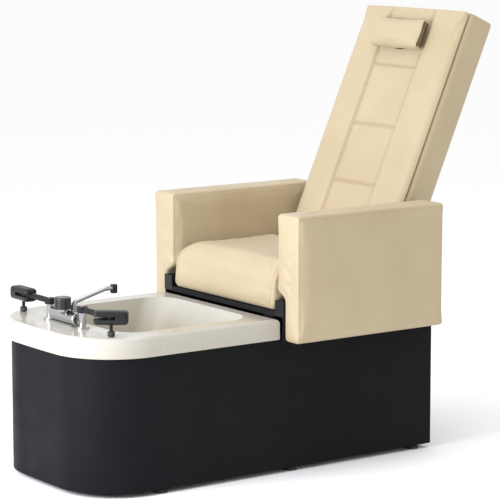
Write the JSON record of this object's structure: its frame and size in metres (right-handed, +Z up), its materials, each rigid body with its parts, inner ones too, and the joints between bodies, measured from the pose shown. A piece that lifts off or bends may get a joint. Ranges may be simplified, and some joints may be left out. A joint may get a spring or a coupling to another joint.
{
  "type": "pedicure spa chair",
  "caption": "Pedicure spa chair: black cabinet with a white foot basin, faucet and swing footrests in front of a box-armed cream seat that slides and reclines.",
  "frame": {"origin": "on the floor, under the middle of the whole chair's box", "axes": "+Z up; the basin end points to -Y and the reclined back to +Y; X = 0 is the middle plane of the cabinet and seat"},
  "size_m": [0.8, 1.5741, 1.4037],
  "materials": {
    "rubber": "matte",
    "zinc": "satin",
    "black_steel": "satin",
    "black_laminate": "satin",
    "black_board": "matte",
    "white_acrylic": "gloss",
    "chrome": "polished",
    "grey_plastic": "matte",
    "motor_paint": "satin",
    "brass": "satin",
    "black_plastic": "satin",
    "black_pad": "satin",
    "braided_hose": "satin",
    "bright_steel": "polished",
    "cream_leather": "satin",
    "plywood": "matte"
  },
  "bodies": {
    "base": {"foot_pads": "rubber", "foot_stems": "zinc", "base_frame": "black_steel", "cabinet_shell": "black_laminate", "rear_panel": "black_laminate", "panel_screws": "zinc", "seat_board": "black_board", "basin": "white_acrylic", "drain_strainer": "chrome", "drain_pipe": "grey_plastic", "jet_cover": "chrome", "jet_housing": "grey_plastic", "jet_motor": "motor_paint", "faucet_body": "chrome", "shank_nuts": "brass", "footrest_post_left": "chrome", "footrest_post_right": "chrome", "supply_hoses": "braided_hose", "water_inlets": "brass", "power_inlet": "black_plastic", "service_shelf": "black_steel", "control_box": "grey_plastic", "slide_rails": "bright_steel", "slide_drive": "motor_paint"},
    "stopper": {"drain_stopper": "chrome"},
    "impeller": {"jet_impeller": "grey_plastic"},
    "mixer": {"mixer_knob": "black_plastic"},
    "spout": {"spout": "chrome", "spout_nozzle": "black_plastic"},
    "footrest_left": {"footrest_arm_left": "black_steel", "footrest_skid_left": "rubber"},
    "footrest_right": {"footrest_arm_right": "black_steel", "footrest_skid_right": "rubber"},
    "pad_left": {"footrest_pad_left": "black_pad"},
    "pad_right": {"footrest_pad_right": "black_pad"},
    "chair": {"slide_blocks": "black_plastic", "slide_screw": "bright_steel", "seat_pan": "black_board", "rear_crossbar": "black_steel", "side_beam_left": "black_steel", "side_beam_right": "black_steel", "beam_end_caps": "black_plastic", "rear_valance": "black_steel", "armrest_left": "cream_leather", "armrest_right": "cream_leather", "arm_core_left": "plywood", "arm_core_right": "plywood", "arm_bolts": "zinc", "seat_cushion": "cream_leather", "hinge_brackets": "black_steel", "hinge_pins": "bright_steel", "recline_drive": "motor_paint"},
    "back": {"back_frame": "black_steel", "back_shell": "cream_leather", "back_cushion": "cream_leather", "headrest_track": "black_plastic"},
    "recline_rod": {"recline_rod": "bright_steel", "recline_pin": "bright_steel"},
    "headrest": {"headrest_carrier": "black_plastic", "headrest_pillow": "cream_leather"}
  },
  "joints": [
    {"name": "chair_slide", "type": "slide", "parent": "base", "child": "chair", "axis": [0, -1, 0], "range_m": [0, 0.15]},
    {"name": "back_recline", "type": "hinge", "parent": "chair", "child": "back", "pos_m": [0, 0.35491, 0.54], "axis": [-1, 0, 0], "range_deg": [0, 26]},
    {"name": "recline_rod_slide", "type": "slide", "parent": "chair", "child": "recline_rod", "axis": [0, -1, 0], "range_m": [0, 0.03282]},
    {"name": "headrest_slide", "type": "slide", "parent": "back", "child": "headrest", "axis": [0, -0.4067, -0.9135], "range_m": [0, 0.045]},
    {"name": "footrest_swing_left", "type": "hinge", "parent": "base", "child": "footrest_left", "pos_m": [-0.095, -0.67509, 0.5363], "axis": [0, 0, -1], "range_deg": [-20, 90]},
    {"name": "footrest_swing_right", "type": "hinge", "parent": "base", "child": "footrest_right", "pos_m": [0.095, -0.67509, 0.5363], "axis": [0, 0, 1], "range_deg": [-20, 90]},
    {"name": "pad_turn_left", "type": "hinge", "parent": "footrest_left", "child": "pad_left", "pos_m": [-0.256, -0.67509, 0.5363], "axis": [0, 0, -1], "range_deg": [-60, 60]},
    {"name": "pad_turn_right", "type": "hinge", "parent": "footrest_right", "child": "pad_right", "pos_m": [0.256, -0.67509, 0.5363], "axis": [0, 0, 1], "range_deg": [-114, 6]},
    {"name": "mixer_turn", "type": "hinge", "parent": "base", "child": "mixer", "pos_m": [0, -0.68709, 0.5358], "axis": [0, 0, 1], "range_deg": [-45, 45]},
    {"name": "spout_swing", "type": "hinge", "parent": "base", "child": "spout", "pos_m": [0, -0.64709, 0.5295], "axis": [0, 0, 1], "range_deg": [-60, 60]},
    {"name": "stopper_lift", "type": "slide", "parent": "base", "child": "stopper", "axis": [0, 0, 1], "range_m": [0, 0.014]},
    {"name": "impeller_spin", "type": "hinge", "parent": "base", "child": "impeller", "pos_m": [0.07, -0.38509, 0.23], "axis": [0, 0, 1], "continuous": true}
  ],
  "couplings": [
    {"joint": "recline_rod_slide", "follows": "back_recline", "m_per_rad": 0.071226}
  ]
}
